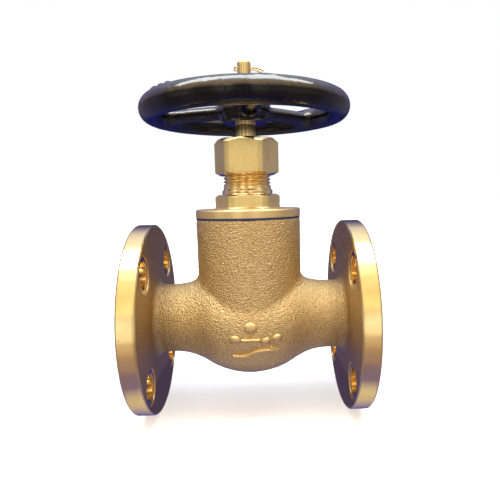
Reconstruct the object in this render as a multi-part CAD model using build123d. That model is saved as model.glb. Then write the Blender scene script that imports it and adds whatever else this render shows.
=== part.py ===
from build123d import *
import math
import os

# Bronze globe valve for a flanged pipe, inside screw, rising stem and handwheel.
# Millimetres. X runs along the pipe from inlet to outlet, and Z up the stem.
# The shapes are drawn about the point where the stem axis meets the pipe axis, and
# are moved along X when they are written, so that the origin is the centre of the
# inlet flange's face. The valve is shown shut.

# ---- driving dimensions ----------------------------------------------------

FACE_TO_FACE = 134.0
PORT_RADIUS = 16.0

FLANGE_RADIUS = 57.5
FLANGE_THICKNESS = 10.5
FLANGE_CHAMFER = 0.8
BOLT_CIRCLE_RADIUS = 45.0
BOLT_HOLE_RADIUS = 7.5
BOLT_COUNT = 4
SPOT_FACE_RADIUS = 11.0
SPOT_FACE_DEPTH = 0.8

NECK_RADIUS = 20.7            # pipe neck beside the flange
NECK_FILLET = 5.0
BULB_RADIUS = 34.6            # lowest point of the body, measured from the pipe axis
BULB_CROWN = 47.0             # radius of the bulb's outline at its middle
BULB_WAIST = 38.0             # radius of the outline where it runs into the neck
BULB_SAG = 1.8                # the bulb's section is centred this far below the pipe axis
BULB_SAG_REACH = (8.0, 31.0)  # where the sag starts to fade along the pipe, and is gone
BULB_STATIONS = 14            # sections drawn on each side of the middle
CHAMBER_OUTER_RADIUS = 31.0
CHAMBER_RADIUS = 25.5
BULB_BORE_RADIUS = 30.0
BULB_BORE_HALF_LENGTH = 35.0
BODY_BLEND = 7.0
BODY_TOP = 60.0
COVER_THREAD_RADIUS = 26.0
COVER_THREAD_PITCH = 2.0
COVER_THREAD_DEPTH = 13.0
COVER_THREAD_ROOT = 24.9

SEAT_HEIGHT = 8.0
SEAT_RADIUS = 20.0
SEAT_PORT_RADIUS = 15.5
SEAT_FACE_RADIUS = 18.5
SEAT_LIP = 1.0                # height of the raised seat face
PARTITION_TOP = 6.5
PARTITION_BOTTOM = 2.0
PARTITION_RISE = 21.5         # top of the wall over the inlet
PARTITION_DROP = -16.3        # top of the wall under the outlet
PARTITION_THICKNESS = 6.0     # of its two sloping ends

GASKET_THICKNESS = 1.1
COVER_RADIUS = 31.2
COVER_TOP = 66.0
COVER_HEX = 35.3              # across flats
COVER_HEX_BOTTOM = 67.0
COVER_HEX_TOP = 74.3
COVER_HEX_CORNER = 19.2
COVER_HEX_BEVEL = 1.2
COVER_HEX_TURN = 2.7          # degrees
COVER_SKIRT_BOTTOM = 48.5     # lower end of the screwed skirt
COVER_SKIRT_BORE = 21.5
COVER_SKIRT_CEILING = 56.5
COVER_BOSS_BOTTOM = 42.0
COVER_BOSS_RADIUS = 12.5
COLLAR_RADIUS = 15.0
COLLAR_TOP = 76.5
NECK_THREAD_RADIUS = 13.95
NECK_THREAD_ROOT = 12.75
NECK_THREAD_PITCH = 2.0
NECK_THREAD_BOTTOM = 80.0
NECK_THREAD_TURNS = 7
NECK_TOP = 95.8

STUFFING_BOX_RADIUS = 10.0
STUFFING_BOX_BOTTOM = 74.0
PACKING_SEAT_HEIGHT = 2.0
PACKING_RING_HEIGHT = 3.5
PACKING_RING_COUNT = 4
GLAND_FLANGE_BOTTOM = 97.4
GLAND_FLANGE_TOP = 99.55
GLAND_FLANGE_RADIUS = 12.6

PACKING_NUT_HEX = 34.4        # across flats
PACKING_NUT_CORNER = 18.9
PACKING_NUT_BOTTOM = 85.3
PACKING_NUT_TOP = 106.5
PACKING_NUT_CEILING = 99.6
PACKING_NUT_BEVELS = (1.9, 2.4)   # drop of the lower and upper bevel at a corner
PACKING_NUT_TURN = -5.7           # degrees

STEM_RADIUS = 6.0
STEM_THREAD_RADIUS = 8.0
STEM_THREAD_ROOT = 6.25
STEM_THREAD_PITCH = 3.0
STEM_THREAD_BOTTOM = 32.0
STEM_THREAD_TURNS = 9
STEM_HEAD_RADIUS = 8.0
STEM_HEAD_BOTTOM = 13.05
STEM_HEAD_TOP = 17.0
STEM_SQUARE = 9.0
STEM_END_RADIUS = 4.0
STEM_END_ROOT = 3.4
STEM_END_PITCH = 1.25
STEM_END_TURNS = 6
STEM_TIP_RADIUS = 3.9         # plain end above the thread
STEM_TOP = 150.0
STEM_LIFT = 10.0

DISC_RADIUS = 19.0
DISC_HUB_RADIUS = 12.5
DISC_HUB_TOP = 25.0
DISC_RIM_HEIGHT = 5.0
DISC_FACE_WIDTH = 5.0         # width of the face that meets the seat
DISC_NUT_THREAD_RADIUS = 9.5
DISC_NUT_THREAD_PITCH = 1.5
DISC_NUT_HEX = 22.0
DISC_NUT_CORNER = 12.2
DISC_NUT_TOP = 28.5

WHEEL_RIM_CIRCLE = 54.3       # radius of the rim's centre line
WHEEL_RIM_HEIGHT = 14.0
WHEEL_RIM_WIDTH = 12.6
WHEEL_RIM_LEVEL = 122.6
WHEEL_BOTTOM = 115.4
WHEEL_HUB_RADIUS = 15.2
WHEEL_HUB_SHOULDER = 127.5
WHEEL_BOSS_RADIUS = 9.6
WHEEL_TOP = 133.0
SPOKE_COUNT = 3
SPOKE_ANGLE = 40.0            # azimuth of the first spoke
SPOKE_WIDTH = 11.5
SPOKE_HEIGHT = 8.2
SPOKE_LEVEL = 122.75
WASHER_RADIUS = 9.0
WASHER_THICKNESS = 1.6
WHEEL_NUT_HEX = 13.0
WHEEL_NUT_CORNER = 7.4
WHEEL_NUT_HEIGHT = 6.5
WHEEL_NUT_BEVEL = 0.6
WHEEL_NUT_TURN = 12.0         # degrees

PIN_LEVEL = 146.4
PIN_WIRE_RADIUS = 0.45
PIN_HOLE_RADIUS = 1.0
PIN_EYE_HEIGHT = 1.2          # half the height of the eye's bow
PIN_EYE_WIDTH = 0.6
PIN_BEND = 0.7

THREAD_CLEARANCE = 0.05
RUNNING_CLEARANCE = 0.05
SEAT_GAP = 0.1


# ---- helpers ---------------------------------------------------------------

def turned(points):
    """Solid of revolution about the stem axis, from (radius, height) points."""
    outline = Polyline(*points, close=True)
    return revolve(Plane.XZ * make_face(outline), Axis.Z)


def ring(inner, outer, bottom, top):
    """Plain ring about the stem axis."""
    return turned([(inner, bottom), (outer, bottom), (outer, top), (inner, top)])


def rod(radius, bottom, top):
    """Plain cylinder on the stem axis."""
    return turned([(0, bottom), (radius, bottom), (radius, top), (0, top)])


def hexagon(across_flats, bottom, top, turn=0.0):
    """Hexagonal prism on the stem axis, with two flats facing Y before the turn."""
    outline = RegularPolygon(across_flats / 2, 6, major_radius=False, rotation=turn)
    return extrude(Plane.XY.offset(bottom) * outline, amount=top - bottom)


def ridges(root, crest, bottom, pitch, turns, crest_share):
    """Outline points of a thread's ridges, drawn as rings one pitch apart."""
    points = []
    flank = (1 - crest_share) * pitch / 2
    for turn in range(turns):
        low = bottom + turn * pitch
        points += [(root, low), (crest, low + flank), (crest, low + pitch - flank)]
    points.append((root, bottom + turns * pitch))
    return points


def chamfered_nut(across_flats, corner, bottom, top, low_drop, top_drop, turn):
    """Hexagon whose corners are turned round and bevelled at 30 degrees.

    A drop is how far the bevel reaches down or up a corner; it may be 0.
    """
    slope = math.tan(math.radians(30))
    outline = [(0, bottom), (corner - low_drop / slope, bottom)]
    if low_drop:
        outline.append((corner, bottom + low_drop))
    outline += [(corner, top - top_drop), (corner - top_drop / slope, top), (0, top)]
    return hexagon(across_flats, bottom, top, turn) & turned(outline)


# ---- body ------------------------------------------------------------------

# The bulb's lower outline is a crown arc that runs into a waist arc and so into the neck.
CROWN_CENTRE = BULB_RADIUS - BULB_CROWN
WAIST_CENTRE = NECK_RADIUS + BULB_WAIST
ARC_REACH = BULB_CROWN + BULB_WAIST
NECK_START = math.sqrt(ARC_REACH ** 2 - (WAIST_CENTRE - CROWN_CENTRE) ** 2)


def bulb_outline(x):
    """Depth of the lower body under the pipe axis at x."""
    if abs(x) < NECK_START * BULB_CROWN / ARC_REACH:
        return CROWN_CENTRE + math.sqrt(BULB_CROWN ** 2 - x ** 2)
    away = max(NECK_START - abs(x), 0.0)
    return WAIST_CENTRE - math.sqrt(BULB_WAIST ** 2 - away ** 2)


def bulb_sag(x):
    """Drop of the bulb's section centre below the pipe axis at x."""
    start, gone = BULB_SAG_REACH
    share = min(max((abs(x) - start) / (gone - start), 0.0), 1.0)
    return BULB_SAG * (1 - share * share * (3 - 2 * share))


def bulb():
    """Bell-shaped lower body, through round sections along the pipe."""
    sections = []
    for index in range(-BULB_STATIONS, BULB_STATIONS + 1):
        x = NECK_START * index / BULB_STATIONS
        drop = bulb_sag(x)
        plane = Plane((x, 0, -drop), x_dir=(0, 0, -1), z_dir=(1, 0, 0))
        sections.append(plane * Circle(bulb_outline(x) - drop))
    return loft(sections)


def pipe_end():
    """Neck and flange on the outlet side, about the pipe axis."""
    outer_face = FACE_TO_FACE / 2
    inner_face = outer_face - FLANGE_THICKNESS
    fillet_start = (inner_face - NECK_FILLET, NECK_RADIUS)
    fillet_end = (inner_face, NECK_RADIUS + NECK_FILLET)
    corner = RadiusArc(fillet_start, fillet_end, -NECK_FILLET)
    rest = Polyline(
        fillet_end,
        (inner_face, FLANGE_RADIUS - FLANGE_CHAMFER),
        (inner_face + FLANGE_CHAMFER, FLANGE_RADIUS),
        (outer_face - FLANGE_CHAMFER, FLANGE_RADIUS),
        (outer_face, FLANGE_RADIUS - FLANGE_CHAMFER),
        (outer_face, 0),
        (NECK_START, 0),
        (NECK_START, NECK_RADIUS),
        fillet_start,
    )
    return revolve(Plane.XZ * make_face([corner, rest]), Axis.X)


def casting():
    """Outside of the body: bulb and flanges along the pipe, chamber upright on it."""
    pipe = bulb()
    upright = Rot(0, 0, 90) * rod(CHAMBER_OUTER_RADIUS, 0, BODY_TOP)
    joined = pipe + upright
    joined = fillet(new_edges(pipe, upright, combined=joined), BODY_BLEND)
    outlet = pipe_end()
    return joined + outlet + mirror(outlet, Plane.YZ)


def partition():
    """The S-shaped wall between the inlet below the seat and the outlet above it."""
    step = SEAT_RADIUS + 1
    reach = NECK_START
    over_inlet = PORT_RADIUS + 0.3
    wall = Polyline(
        (-reach, PARTITION_RISE + 2.5),
        (-step - PARTITION_THICKNESS, PARTITION_RISE),
        (-step, PARTITION_TOP),
        (step, PARTITION_TOP),
        (step + 10.5, PARTITION_DROP),
        (reach, PARTITION_DROP - 1.2),
        (reach, PARTITION_DROP - 9.7),
        (step + PARTITION_THICKNESS, PARTITION_DROP - 6.2),
        (step - 1.5, PARTITION_BOTTOM),
        (-step - 1.5, PARTITION_BOTTOM),
        (-step - 11, over_inlet),
        (-reach, over_inlet),
        close=True,
    )
    slab = extrude(Plane.XZ * make_face(wall), amount=BULB_RADIUS, both=True)
    seat = rod(SEAT_RADIUS, PARTITION_BOTTOM, SEAT_HEIGHT - SEAT_LIP)
    lip = ring(SEAT_PORT_RADIUS, SEAT_FACE_RADIUS, SEAT_HEIGHT - SEAT_LIP, SEAT_HEIGHT)
    throat = rod(SEAT_PORT_RADIUS, PARTITION_BOTTOM - 10, SEAT_HEIGHT)
    return slab + seat + lip - throat


def passages():
    """Space inside the body before the partition is put in."""
    half = FACE_TO_FACE / 2
    bore = Plane.YZ.offset(-half) * Cylinder(
        PORT_RADIUS, FACE_TO_FACE, align=(Align.CENTER, Align.CENTER, Align.MIN)
    )
    arch = ThreePointArc(
        (-BULB_BORE_HALF_LENGTH, PORT_RADIUS),
        (0, BULB_BORE_RADIUS),
        (BULB_BORE_HALF_LENGTH, PORT_RADIUS),
    )
    base = Polyline(
        (BULB_BORE_HALF_LENGTH, PORT_RADIUS),
        (BULB_BORE_HALF_LENGTH, 0),
        (-BULB_BORE_HALF_LENGTH, 0),
        (-BULB_BORE_HALF_LENGTH, PORT_RADIUS),
    )
    bulb = revolve(Plane.XZ * make_face([arch, base]), Axis.X)
    thread_bore = COVER_THREAD_RADIUS + THREAD_CLEARANCE
    chamber = rod(CHAMBER_RADIUS, 0, BODY_TOP)
    mouth = rod(thread_bore, BODY_TOP - COVER_THREAD_DEPTH, BODY_TOP)
    return bore + bulb + chamber + mouth


def bolt_holes():
    """Through holes and their spot faces, on both flanges."""
    cutters = []
    inner_face = FACE_TO_FACE / 2 - FLANGE_THICKNESS
    for side in (-1, 1):
        for index in range(BOLT_COUNT):
            angle = math.radians(360 / BOLT_COUNT * (index + 0.5))
            y = BOLT_CIRCLE_RADIUS * math.cos(angle)
            z = BOLT_CIRCLE_RADIUS * math.sin(angle)
            hole_at = Location((side * FACE_TO_FACE / 2, y, z), (0, 90, 0))
            spot_at = Location((side * inner_face, y, z), (0, 90, 0))
            cutters.append(hole_at * Cylinder(BOLT_HOLE_RADIUS, 4 * FLANGE_THICKNESS))
            cutters.append(spot_at * Cylinder(SPOT_FACE_RADIUS, 2 * SPOT_FACE_DEPTH))
    return cutters


def body():
    space = passages() - partition()
    return casting() - space - bolt_holes()


# ---- bonnet and gasket -----------------------------------------------------

def bonnet_gasket():
    inner = COVER_THREAD_RADIUS + 0.3
    return ring(inner, CHAMBER_OUTER_RADIUS, BODY_TOP, BODY_TOP + GASKET_THICKNESS)


def bonnet():
    flange_bottom = BODY_TOP + GASKET_THICKNESS
    backseat = STEM_THREAD_BOTTOM + STEM_THREAD_TURNS * STEM_THREAD_PITCH + STEM_LIFT
    thread_bore = STEM_THREAD_RADIUS + THREAD_CLEARANCE
    stem_bore = STEM_RADIUS + RUNNING_CLEARANCE
    cone = STEM_THREAD_RADIUS - STEM_RADIUS
    profile = [
        (thread_bore, COVER_BOSS_BOTTOM),
        (COVER_BOSS_RADIUS, COVER_BOSS_BOTTOM),
        (COVER_BOSS_RADIUS, COVER_SKIRT_CEILING - 1.5),
        (COVER_BOSS_RADIUS + 1.5, COVER_SKIRT_CEILING),
        (COVER_SKIRT_BORE, COVER_SKIRT_CEILING),
        (COVER_SKIRT_BORE, COVER_SKIRT_BOTTOM),
        (COVER_THREAD_ROOT, COVER_SKIRT_BOTTOM),
    ]
    profile += ridges(
        COVER_THREAD_ROOT, COVER_THREAD_RADIUS, COVER_SKIRT_BOTTOM + 0.5, COVER_THREAD_PITCH,
        5, 0.2,
    )
    profile += [
        (COVER_THREAD_ROOT, flange_bottom),
        (COVER_RADIUS, flange_bottom),
        (COVER_RADIUS, COVER_TOP - 0.8),
        (COVER_RADIUS - 0.8, COVER_TOP),
        (COVER_HEX_CORNER + 0.6, COVER_TOP),
        (COVER_HEX_CORNER, COVER_HEX_BOTTOM),
        (COLLAR_RADIUS, COVER_HEX_BOTTOM),
        (COLLAR_RADIUS, COLLAR_TOP),
        (NECK_THREAD_RADIUS, COLLAR_TOP + 0.7),
        (NECK_THREAD_RADIUS, NECK_THREAD_BOTTOM - 0.7),
    ]
    profile += ridges(
        NECK_THREAD_ROOT, NECK_THREAD_RADIUS, NECK_THREAD_BOTTOM, NECK_THREAD_PITCH,
        NECK_THREAD_TURNS, 0.2,
    )
    profile += [
        (NECK_THREAD_ROOT, NECK_TOP),
        (STUFFING_BOX_RADIUS, NECK_TOP),
        (STUFFING_BOX_RADIUS, STUFFING_BOX_BOTTOM),
        (stem_bore, STUFFING_BOX_BOTTOM),
        (stem_bore, backseat + cone + SEAT_GAP),
        (thread_bore, backseat + SEAT_GAP),
    ]
    nut = chamfered_nut(
        COVER_HEX, COVER_HEX_CORNER, COVER_HEX_BOTTOM, COVER_HEX_TOP,
        0.0, COVER_HEX_BEVEL, COVER_HEX_TURN,
    )
    core = rod(COLLAR_RADIUS - 1, COVER_HEX_BOTTOM, COVER_HEX_TOP)
    return turned(profile) + (nut - core)


# ---- stem packing ----------------------------------------------------------

def packing_bottom():
    return STUFFING_BOX_BOTTOM + PACKING_SEAT_HEIGHT


def packing_seat_ring():
    return ring(
        STEM_RADIUS + RUNNING_CLEARANCE, STUFFING_BOX_RADIUS - 0.02,
        STUFFING_BOX_BOTTOM, packing_bottom(),
    )


def packing_ring(index):
    bottom = packing_bottom() + index * PACKING_RING_HEIGHT
    return ring(
        STEM_RADIUS + RUNNING_CLEARANCE, STUFFING_BOX_RADIUS - 0.02,
        bottom, bottom + PACKING_RING_HEIGHT,
    )


def gland():
    nose_bottom = packing_bottom() + PACKING_RING_COUNT * PACKING_RING_HEIGHT + 0.05
    inner = STEM_RADIUS + RUNNING_CLEARANCE
    nose = STUFFING_BOX_RADIUS - RUNNING_CLEARANCE
    return turned([
        (inner, nose_bottom),
        (nose, nose_bottom),
        (nose, GLAND_FLANGE_BOTTOM),
        (GLAND_FLANGE_RADIUS, GLAND_FLANGE_BOTTOM),
        (GLAND_FLANGE_RADIUS, GLAND_FLANGE_TOP),
        (inner, GLAND_FLANGE_TOP),
    ])


def packing_nut():
    outside = chamfered_nut(
        PACKING_NUT_HEX, PACKING_NUT_CORNER, PACKING_NUT_BOTTOM, PACKING_NUT_TOP,
        *PACKING_NUT_BEVELS, PACKING_NUT_TURN,
    )
    thread_bore = NECK_THREAD_RADIUS + THREAD_CLEARANCE
    mouth = turned([
        (0, PACKING_NUT_BOTTOM),
        (thread_bore + 0.8, PACKING_NUT_BOTTOM),
        (thread_bore, PACKING_NUT_BOTTOM + 0.8),
        (thread_bore, PACKING_NUT_CEILING),
        (0, PACKING_NUT_CEILING),
    ])
    stem_hole = rod(STEM_RADIUS + 0.3, PACKING_NUT_CEILING, PACKING_NUT_TOP)
    return outside - mouth - stem_hole


# ---- stem, disc and wheel --------------------------------------------------

def stem():
    thread_top = STEM_THREAD_BOTTOM + STEM_THREAD_TURNS * STEM_THREAD_PITCH
    cone = STEM_THREAD_RADIUS - STEM_RADIUS
    end_thread = WHEEL_TOP + 0.4
    end_top = end_thread + STEM_END_TURNS * STEM_END_PITCH
    profile = [
        (0, STEM_HEAD_BOTTOM),
        (STEM_HEAD_RADIUS - 1, STEM_HEAD_BOTTOM),
        (STEM_HEAD_RADIUS, STEM_HEAD_BOTTOM + 1),
        (STEM_HEAD_RADIUS, STEM_HEAD_TOP),
        (STEM_RADIUS, STEM_HEAD_TOP),
        (STEM_RADIUS, STEM_THREAD_BOTTOM),
    ]
    profile += ridges(
        STEM_THREAD_ROOT, STEM_THREAD_RADIUS, STEM_THREAD_BOTTOM, STEM_THREAD_PITCH,
        STEM_THREAD_TURNS, 0.37,
    )[:-1]
    profile += [
        (STEM_THREAD_RADIUS, thread_top),
        (STEM_RADIUS, thread_top + cone),
        (STEM_RADIUS, WHEEL_TOP),
        (STEM_END_ROOT, WHEEL_TOP),
    ]
    profile += ridges(
        STEM_END_ROOT, STEM_END_RADIUS, end_thread, STEM_END_PITCH, STEM_END_TURNS, 0.2
    )
    profile += [
        (STEM_END_ROOT, end_top + 0.2),
        (STEM_TIP_RADIUS, end_top + 0.5),
        (STEM_TIP_RADIUS, STEM_TOP - 0.7),
        (STEM_TIP_RADIUS - 0.7, STEM_TOP),
        (0, STEM_TOP),
    ]
    square = extrude(
        Plane.XY.offset(WHEEL_BOTTOM) * Rectangle(STEM_SQUARE, STEM_SQUARE),
        amount=WHEEL_TOP - WHEEL_BOTTOM,
    )
    flats = rod(STEM_RADIUS + 1, WHEEL_BOTTOM, WHEEL_TOP) - square
    pin_hole = Location((0, 0, PIN_LEVEL), (0, 90, 0)) * Cylinder(PIN_HOLE_RADIUS, 20)
    return turned(profile) - flats - pin_hole


def disc():
    bottom = SEAT_HEIGHT + SEAT_GAP
    pocket = STEM_HEAD_RADIUS + RUNNING_CLEARANCE
    nut_bore = DISC_NUT_THREAD_RADIUS + THREAD_CLEARANCE
    recess = DISC_RADIUS - DISC_FACE_WIDTH
    return turned([
        (0, bottom + 1.5),
        (recess, bottom + 1.5),
        (recess, bottom),
        (DISC_RADIUS, bottom),
        (DISC_RADIUS, bottom + DISC_RIM_HEIGHT),
        (DISC_HUB_RADIUS, bottom + DISC_RIM_HEIGHT + 3),
        (DISC_HUB_RADIUS, DISC_HUB_TOP),
        (nut_bore, DISC_HUB_TOP),
        (nut_bore, STEM_HEAD_TOP + RUNNING_CLEARANCE),
        (pocket, STEM_HEAD_TOP + RUNNING_CLEARANCE),
        (pocket, STEM_HEAD_BOTTOM - RUNNING_CLEARANCE),
        (0, STEM_HEAD_BOTTOM - RUNNING_CLEARANCE),
    ])


def disc_nut():
    """Screwed ring that traps the stem head, with a hexagon to turn it by."""
    root = DISC_NUT_THREAD_RADIUS - 0.9
    inner = STEM_RADIUS + RUNNING_CLEARANCE
    bottom = STEM_HEAD_TOP + RUNNING_CLEARANCE
    thread = ridges(
        root, DISC_NUT_THREAD_RADIUS, bottom + 0.3, DISC_NUT_THREAD_PITCH, 4, 0.2
    )
    barrel = turned(
        [(inner, bottom), (root, bottom)] + thread + [(root, DISC_HUB_TOP), (inner, DISC_HUB_TOP)]
    )
    head = chamfered_nut(
        DISC_NUT_HEX, DISC_NUT_CORNER, DISC_HUB_TOP, DISC_NUT_TOP, 0.0, 0.5, 0.0
    )
    return barrel + (head - rod(inner, DISC_HUB_TOP, DISC_NUT_TOP))


def spoke(azimuth):
    section = Pos(0, SPOKE_LEVEL) * Ellipse(SPOKE_WIDTH / 2, SPOKE_HEIGHT / 2)
    start = WHEEL_HUB_RADIUS - 6
    bar = extrude(Plane.YZ.offset(start) * section, amount=WHEEL_RIM_CIRCLE - start)
    return Rot(0, 0, azimuth) * bar


def handwheel():
    section = Pos(WHEEL_RIM_CIRCLE, WHEEL_RIM_LEVEL) * Ellipse(
        WHEEL_RIM_WIDTH / 2, WHEEL_RIM_HEIGHT / 2
    )
    wheel = revolve(Plane.XZ * section, Axis.Z)
    wheel += turned([
        (0, WHEEL_BOTTOM),
        (WHEEL_HUB_RADIUS - 2.2, WHEEL_BOTTOM),
        (WHEEL_HUB_RADIUS - 1.4, WHEEL_BOTTOM + 0.8),
        (WHEEL_HUB_RADIUS, WHEEL_HUB_SHOULDER - 2),
        (WHEEL_HUB_RADIUS - 1.2, WHEEL_HUB_SHOULDER),
        (WHEEL_BOSS_RADIUS + 0.9, WHEEL_HUB_SHOULDER + 0.7),
        (WHEEL_BOSS_RADIUS, WHEEL_TOP - 0.6),
        (WHEEL_BOSS_RADIUS - 0.6, WHEEL_TOP),
        (0, WHEEL_TOP),
    ])
    for index in range(SPOKE_COUNT):
        wheel += spoke(SPOKE_ANGLE + index * 360 / SPOKE_COUNT)
    side = STEM_SQUARE + 2 * RUNNING_CLEARANCE
    square = extrude(
        Plane.XY.offset(WHEEL_BOTTOM) * Rectangle(side, side), amount=WHEEL_TOP - WHEEL_BOTTOM
    )
    return wheel - (square & rod(STEM_RADIUS + RUNNING_CLEARANCE, WHEEL_BOTTOM, WHEEL_TOP))


def wheel_washer():
    return ring(STEM_END_RADIUS + 0.3, WASHER_RADIUS, WHEEL_TOP, WHEEL_TOP + WASHER_THICKNESS)


def wheel_nut():
    bottom = WHEEL_TOP + WASHER_THICKNESS
    top = bottom + WHEEL_NUT_HEIGHT
    outside = chamfered_nut(
        WHEEL_NUT_HEX, WHEEL_NUT_CORNER, bottom, top,
        WHEEL_NUT_BEVEL, WHEEL_NUT_BEVEL, WHEEL_NUT_TURN,
    )
    return outside - rod(STEM_END_RADIUS + THREAD_CLEARANCE, bottom, top)


def split_pin():
    """One bent wire: tail, leg, eye, leg, tail, all in the plane of X and Z."""
    leg = PIN_WIRE_RADIUS + 0.03
    hole_end = STEM_TIP_RADIUS + 0.35
    eye = -hole_end - 0.55
    high = PIN_LEVEL + leg
    low = PIN_LEVEL - leg
    upper = FilletPolyline(
        (hole_end + 7.2, high - 1.9), (hole_end + 3.8, high - 0.5), (hole_end, high),
        (-hole_end, high), (eye, PIN_LEVEL + PIN_EYE_HEIGHT), radius=PIN_BEND,
    )
    loop = ThreePointArc(
        (eye, PIN_LEVEL + PIN_EYE_HEIGHT), (eye - PIN_EYE_WIDTH, PIN_LEVEL),
        (eye, PIN_LEVEL - PIN_EYE_HEIGHT),
    )
    lower = FilletPolyline(
        (eye, PIN_LEVEL - PIN_EYE_HEIGHT), (-hole_end, low), (hole_end, low),
        (hole_end + 3.6, low - 0.9), (hole_end + 8.2, low - 3.0), radius=PIN_BEND,
    )
    pieces = []
    for stretch in (upper, loop, lower):
        path = Plane.XZ * stretch
        start = Plane(path @ 0, z_dir=path % 0)
        pieces.append(sweep(start * Circle(PIN_WIRE_RADIUS), path))
    return pieces[0] + pieces[1] + pieces[2]


# ---- write -----------------------------------------------------------------

def write(name, shape):
    moved = Pos(FACE_TO_FACE / 2, 0, 0) * shape
    export_step(moved, "parts/" + name + ".step")


def main():
    os.makedirs("parts", exist_ok=True)
    write("body", body())
    write("bonnet_gasket", bonnet_gasket())
    write("bonnet", bonnet())
    write("packing_seat_ring", packing_seat_ring())
    for index in range(PACKING_RING_COUNT):
        write("packing_ring_" + str(index + 1), packing_ring(index))
    write("gland", gland())
    write("packing_nut", packing_nut())
    write("disc", disc())
    write("disc_nut", disc_nut())
    write("stem", stem())
    write("handwheel", handwheel())
    write("wheel_washer", wheel_washer())
    write("wheel_nut", wheel_nut())
    write("split_pin", split_pin())


main()
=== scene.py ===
import math

import bmesh
import bpy
import numpy as np
from mathutils import Matrix, Vector


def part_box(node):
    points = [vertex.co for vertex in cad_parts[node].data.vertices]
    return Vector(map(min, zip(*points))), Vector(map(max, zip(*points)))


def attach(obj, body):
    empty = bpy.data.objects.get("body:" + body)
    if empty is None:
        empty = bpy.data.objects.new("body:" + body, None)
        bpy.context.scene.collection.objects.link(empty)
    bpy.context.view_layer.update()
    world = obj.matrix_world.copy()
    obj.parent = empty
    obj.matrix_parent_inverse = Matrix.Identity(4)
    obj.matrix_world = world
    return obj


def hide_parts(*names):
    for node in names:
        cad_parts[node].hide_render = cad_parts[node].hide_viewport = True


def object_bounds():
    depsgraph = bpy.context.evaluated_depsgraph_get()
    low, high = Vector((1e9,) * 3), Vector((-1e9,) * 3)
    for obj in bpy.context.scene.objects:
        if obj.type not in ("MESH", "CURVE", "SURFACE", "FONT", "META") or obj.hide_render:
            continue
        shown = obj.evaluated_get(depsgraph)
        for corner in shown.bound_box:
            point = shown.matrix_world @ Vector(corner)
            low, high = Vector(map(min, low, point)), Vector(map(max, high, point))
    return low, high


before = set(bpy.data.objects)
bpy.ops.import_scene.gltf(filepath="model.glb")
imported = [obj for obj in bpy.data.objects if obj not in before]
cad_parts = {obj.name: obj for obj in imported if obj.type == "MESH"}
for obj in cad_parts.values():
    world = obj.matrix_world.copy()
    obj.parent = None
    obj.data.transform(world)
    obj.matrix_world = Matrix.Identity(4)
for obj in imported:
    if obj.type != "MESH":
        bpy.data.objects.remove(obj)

# Looks of a bronze globe valve. Lengths in this file are millimetres measured from the
# point where the stem axis meets the pipe axis, until a mesh or a material turns them into
# metres. The camera, the light and the floor are in metres, in the frame's own axes.

cad_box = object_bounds()
MM = 0.001
stem_low, stem_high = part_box("stem")
body_low, body_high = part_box("body")
AXIS = Vector(((stem_low.x + stem_high.x) / 2, 0.0, 0.0))
FLANGE_RADIUS = (body_high.y - body_low.y) / 2 / MM
HALF_LENGTH = (body_high.x - body_low.x) / 2 / MM
FLANGE_THICKNESS = 10.5
BOLT_CIRCLE = 45.0
BODY_TOP = body_high.z / MM
COVER_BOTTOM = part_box("bonnet_gasket")[1].z / MM
SQUARE_BOTTOM = 115.4
SQUARE_TOP = 133.0
WASHER_TOP = 134.6
WHEEL_NUT_TOP = 141.1
PIN_LEVEL = 146.4
TURN = 2 * math.pi


# ---- numbers ----------------------------------------------------------------

def smoothstep(low, high, value):
    t = np.clip((value - low) / (high - low), 0.0, 1.0)
    return t * t * (3 - 2 * t)


def lattice_noise(points, cell, seed):
    """Smooth random values from -1 to 1 at the points, with bumps about a cell apart."""
    side, shift = 64, 1000.0
    table = np.random.RandomState(seed).uniform(-1, 1, (side, side, side))
    scaled = points / cell + shift
    base = np.floor(scaled).astype(int)
    part = scaled - base
    part = part * part * (3 - 2 * part)
    total = np.zeros(len(points))
    for corner in range(8):
        offset = np.array([corner & 1, corner >> 1 & 1, corner >> 2 & 1])
        weight = np.prod(np.where(offset, part, 1 - part), axis=1)
        index = (base + offset) % side
        total += weight * table[index[:, 0], index[:, 1], index[:, 2]]
    return total


def smooth_union(a, b, width):
    """Union of two distance fields, with a fillet that starts about a width away."""
    share = np.clip(0.5 + 0.5 * (b - a) / width, 0.0, 1.0)
    return b + (a - b) * share - width * share * (1 - share)


# ---- meshes -----------------------------------------------------------------

def add_object(name, data):
    thing = bpy.data.objects.new(name, data)
    bpy.context.scene.collection.objects.link(thing)
    return thing


def place(name, points, faces):
    """New object from millimetre points about the axis crossing."""
    mesh = bpy.data.meshes.new(name)
    metres = np.asarray(points, float) * MM + np.array(AXIS)
    mesh.from_pydata(metres.tolist(), [], faces)
    bm = bmesh.new()
    bm.from_mesh(mesh)
    bmesh.ops.remove_doubles(bm, verts=bm.verts, dist=2e-6)
    bmesh.ops.dissolve_degenerate(bm, edges=bm.edges, dist=1e-6)
    bmesh.ops.recalc_face_normals(bm, faces=bm.faces)
    bm.to_mesh(mesh)
    bm.free()
    return add_object(name, mesh)


def finish_piece(piece, body, slot, nodes, *materials, crease=35):
    """Materials, shading and frame facts of a piece. Edges over crease degrees stay sharp."""
    for material in materials:
        piece.data.materials.append(material)
    piece.data.shade_smooth()
    piece.data.set_sharp_from_angle(angle=math.radians(crease))
    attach(piece, body)
    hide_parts(*nodes)


def grid_faces(rows, columns, close_rows):
    """Quads of a grid whose columns join up, and whose rows do if they are asked to."""
    faces = []
    for i in range(rows if close_rows else rows - 1):
        a, b = i * columns, (i + 1) % rows * columns
        for j in range(columns):
            k = (j + 1) % columns
            faces.append((a + j, a + k, b + k, b + j))
    return faces


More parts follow.
